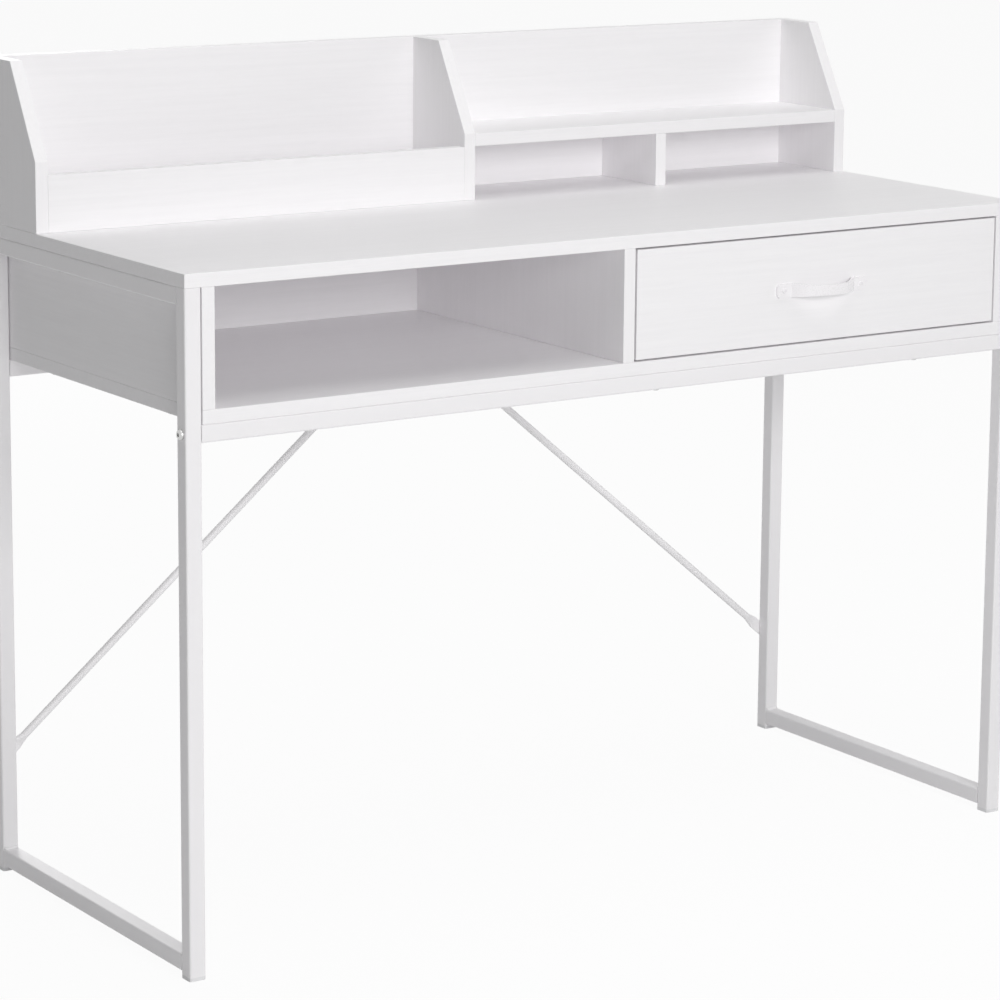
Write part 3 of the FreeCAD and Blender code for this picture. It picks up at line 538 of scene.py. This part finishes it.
@dataclass
class SteelFrame:
    """Welded side frames, rails, braces and feet."""

    bead: float = 2.6 * MM
    bead_sides: int = 12
    bead_share: float = 0.80
    bead_smooth_deg: float = 60.0
    end_facing: float = 0.9
    end_inset: float = 0.35
    end_rise: float = 0.30
    sides: tuple[str, ...] = ("left", "right")
    places: tuple[str, ...] = ("front", "rear")

    def build(self) -> None:
        """Dresses the tubes and lays the weld beads in the inner corners."""
        lengths = ("front_post", "rear_post", "top_rail", "floor_rail")
        tubes = [f"{side}_{length}" for side in self.sides for length in lengths]
        dress(tubes + ["front_rail", "rear_rail"], TUBE_PAINT)
        dress(["left_brace", "right_brace"], ROD_PAINT_WITH_PAINTED_LIGHT)
        dress([f"{side}_{place}_foot" for side in self.sides for place in self.places], FOOT_PLASTIC)
        dress(["frame_bolts", "brace_bolts", "rail_end_nuts", "rail_screws", "top_rail_screws"], ZINC)
        for side in self.sides:
            for place in self.places:
                for rail, face in (("top_rail", 0), ("floor_rail", 1)):
                    self.weld(side, place, rail, face)

    def weld(self, side: str, place: str, rail: str, face: int) -> None:
        """Lays one bead across the inner corner of a post and a rail.

        Args:
            side: Left or right frame.
            place: Front or rear post.
            rail: The rail that meets the post.
            face: 0 for the rail's underside, 1 for its top.
        """
        post_low, post_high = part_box(f"{side}_{place}_post")
        rail_low, rail_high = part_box(f"{side}_{rail}")
        corner_y = post_high.y if place == "front" else post_low.y
        corner_z = rail_high.z if face else rail_low.z
        middle = Vector(((post_low.x + post_high.x) / 2, corner_y, corner_z))
        width = (post_high.x - post_low.x) * self.bead_share
        model = Modeller(f"{side}_{place}_{rail}_weld", self.bead, width, middle, Vector((1, 0, 0)),
                         self.bead_sides)
        ends = model.pick_faces(lambda end: abs(end.normal.x) > self.end_facing)
        if ends:
            bpy.ops.mesh.inset(thickness=self.bead * self.end_inset, depth=self.bead * self.end_rise)
        hand_over(model.finish(self.bead_smooth_deg), "desk", TUBE_PAINT)


@dataclass
class Cabinet:
    """Worktop and the boards below it."""

    lengthwise: tuple[str, ...] = ("worktop", "cabinet_floor", "cabinet_back")
    crosswise: tuple[str, ...] = ("cabinet_left_side", "cabinet_right_side")
    screws: tuple[str, ...] = ("floor_board_screws", "back_panel_screws")

    def build(self) -> None:
        """Dresses the boards with the grain along each."""
        dress(self.lengthwise, BOARD_X)
        dress(self.crosswise, BOARD_Y)
        dress(["cabinet_divider"], BOARD_Z)
        dress(self.screws, ZINC)
        dress(["cabinet_dowels"], BEECH)


@dataclass
class Hutch:
    """Low hutch along the rear of the worktop."""

    lengthwise: tuple[str, ...] = ("hutch_back", "hutch_shelf", "hutch_front_lip")
    upright: tuple[str, ...] = ("hutch_left_side", "hutch_middle_side", "hutch_right_side",
                                "hutch_cubby_divider")

    def build(self) -> None:
        """Dresses the boards with the grain along each."""
        dress(self.lengthwise, BOARD_X)
        dress(self.upright, BOARD_Z)
        dress(["hutch_back_screws"], ZINC)
        dress(["hutch_dowels"], BEECH)


@dataclass
class Drawer:
    """Drawer with its box, front and handle."""

    box: tuple[str, ...] = ("drawer_left_side", "drawer_right_side")
    across: tuple[str, ...] = ("drawer_front", "drawer_back")

    def build(self) -> None:
        """Dresses the drawer."""
        dress(self.across, BOARD_X)
        dress(self.box, BOARD_Y)
        dress(["drawer_base_panel"], BASE_PANEL)
        dress(["drawer_handle", "handle_screws"], HANDLE_PAINT)
        dress(["drawer_back_screws"], ZINC)
        dress(["drawer_dowels"], BEECH)


@dataclass
class Runners:
    """Roller runners of the drawer."""

    sides: tuple[str, ...] = ("left", "right")

    def build(self) -> None:
        """Dresses channels, angles, rollers and their screws."""
        for side in self.sides:
            dress([f"{side}_cabinet_runner", f"{side}_drawer_runner"], RUNNER_PAINT)
            dress([f"{side}_cabinet_roller", f"{side}_drawer_roller"], NYLON)
        dress(["cabinet_runner_screws", "drawer_runner_screws"], ZINC)


@dataclass(frozen=True)
class SoftBox:
    """Square lamp that points at the middle of the desk. Its size is in metres, its power in watts."""

    name: str
    place: Triple
    size: float
    power: float

    def light(self) -> None:
        """Adds the lamp."""
        data = bpy.data.lights.new(self.name, "AREA")
        data.size = self.size
        data.energy = self.power
        lamp = bpy.data.objects.new(self.name, data)
        bpy.context.scene.collection.objects.link(lamp)
        low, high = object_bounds()
        aim = (low + high) / 2 - Vector(self.place)
        lamp.location = self.place
        lamp.rotation_euler = aim.to_track_quat("-Z", "Y").to_euler()


SOFT_BOXES = (
    SoftBox("front", (-1.5, -4.2, 1.4), 1.6, 38.5),
    SoftBox("centre", (-0.3, -4.2, 1.95), 1.2, 52.5),
    SoftBox("above", (0.0, -0.6, 3.6), 2.5, 38.0),
    SoftBox("right", (3.8, -0.4, 1.6), 1.6, 19.0),
    SoftBox("rear", (0.6, 4.2, 1.9), 2.0, 42.0),
)


@dataclass
class Studio:
    """Floor, soft light and the camera at the photograph's angle."""

    lamps: tuple[SoftBox, ...] = SOFT_BOXES
    camera_place: Triple = (-2.29803, -3.41147, 1.30922)
    yaw: float = 0.61235
    pitch: float = 0.18429
    roll: float = 0.01229
    focal_pixels: float = 3616.92
    axis_pixel: tuple[float, float] = (590.0, 390.0)
    image_pixels: float = 1000.0
    sensor: float = 36.0
    clip_end: float = 100.0
    floor_size: float = 30.0
    ambient: float = 0.22
    floor_white: float = 0.94
    floor_light: Colour = (0.86, 0.86, 0.865)
    floor_shade: Colour = (0.84, 0.84, 0.845)
    floor_scale: float = 0.8
    bounces: int = 16

    def build(self) -> None:
        """Sets up the whole studio."""
        scene = bpy.context.scene
        scene.view_settings.view_transform = "Standard"
        scene.cycles.max_bounces = self.bounces
        scene.cycles.diffuse_bounces = self.bounces
        self.floor()
        self.world()
        for box in self.lamps:
            box.light()
        self.camera()

    def floor(self) -> None:
        """Pale floor that keeps the object's soft shadow and meets the white background."""
        bpy.ops.object.select_all(action="DESELECT")
        bpy.ops.mesh.primitive_plane_add(size=self.floor_size, location=(0, 0, 0))
        plane = bpy.context.active_object
        plane.name = "studio_floor"
        material = bpy.data.materials.new("pale_floor")
        material.use_nodes = True
        graph = Graph(material.node_tree)
        tint = graph.mix(graph.even_noise(self.floor_scale, 2.0), self.floor_light, self.floor_shade)
        matt = graph.node("ShaderNodeBsdfDiffuse", {}, {"Color": tint})
        white = graph.node("ShaderNodeEmission", {}, {"Color": (1.0, 1.0, 1.0, 1.0), "Strength": 1.0})
        seen = self.seen_directly(graph) * self.floor_white
        surface = graph.node("ShaderNodeMixShader", {}, {0: seen, 1: matt, 2: white})
        graph.node("ShaderNodeOutputMaterial", {}, {"Surface": surface})
        # The white is only for what is seen directly, so the floor isn't sampled as a lamp.
        material.cycles.emission_sampling = "NONE"
        plane.data.materials.append(material)
        plane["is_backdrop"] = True

    @staticmethod
    def seen_directly(graph: Graph) -> Wired:
        """1 for what the camera, a reflection or a clear material sees, 0 for what lights the object.

        Args:
            graph: Graph that gets the nodes.

        Returns:
            The mask.
        """
        kinds = ("Is Camera Ray", "Is Glossy Ray", "Is Transmission Ray")
        rays = [graph.node("ShaderNodeLightPath", {}, {}, kind) for kind in kinds]
        return (rays[0] + rays[1] + rays[2]).clamp()

    def world(self) -> None:
        """White background to the camera, soft even light to the object."""
        world = bpy.data.worlds.new("studio_world")
        bpy.context.scene.world = world
        world.use_nodes = True
        graph = Graph(world.node_tree)
        strength = self.ambient + self.seen_directly(graph) * (1.0 - self.ambient)
        sky = graph.node("ShaderNodeBackground", {}, {"Color": (1.0, 1.0, 1.0, 1.0), "Strength": strength})
        graph.node("ShaderNodeOutputWorld", {}, {"Surface": sky})

    def camera(self) -> None:
        """Camera at the photograph's place, with the lens that its perspective gives."""
        data = bpy.data.cameras.new("photo_camera")
        data.sensor_width = self.sensor
        data.lens = self.sensor * self.focal_pixels / self.image_pixels
        half = self.image_pixels / 2
        data.shift_x = (half - self.axis_pixel[0]) / self.image_pixels
        data.shift_y = (self.axis_pixel[1] - half) / self.image_pixels
        data.clip_end = self.clip_end
        camera = bpy.data.objects.new("photo_camera", data)
        bpy.context.scene.collection.objects.link(camera)
        ahead = Vector((math.sin(self.yaw) * math.cos(self.pitch),
                        math.cos(self.yaw) * math.cos(self.pitch),
                        -math.sin(self.pitch)))
        level = Vector((math.cos(self.yaw), -math.sin(self.yaw), 0.0))
        above = level.cross(ahead)
        right = level * math.cos(self.roll) + above * math.sin(self.roll)
        up = above * math.cos(self.roll) - level * math.sin(self.roll)
        turn = Matrix((right, up, -ahead)).transposed()
        camera.matrix_world = Matrix.Translation(Vector(self.camera_place)) @ turn.to_4x4()
        bpy.context.scene.camera = camera


def main() -> None:
    """Builds the sub-assemblies in order, then the studio."""
    logging.basicConfig(level=logging.INFO, format="%(message)s")
    for assembly in (SteelFrame(), Cabinet(), Hutch(), Drawer(), Runners(), Studio()):
        LOG.info("building %s", type(assembly).__name__)
        assembly.build()


if __name__ == "__main__":
    main()
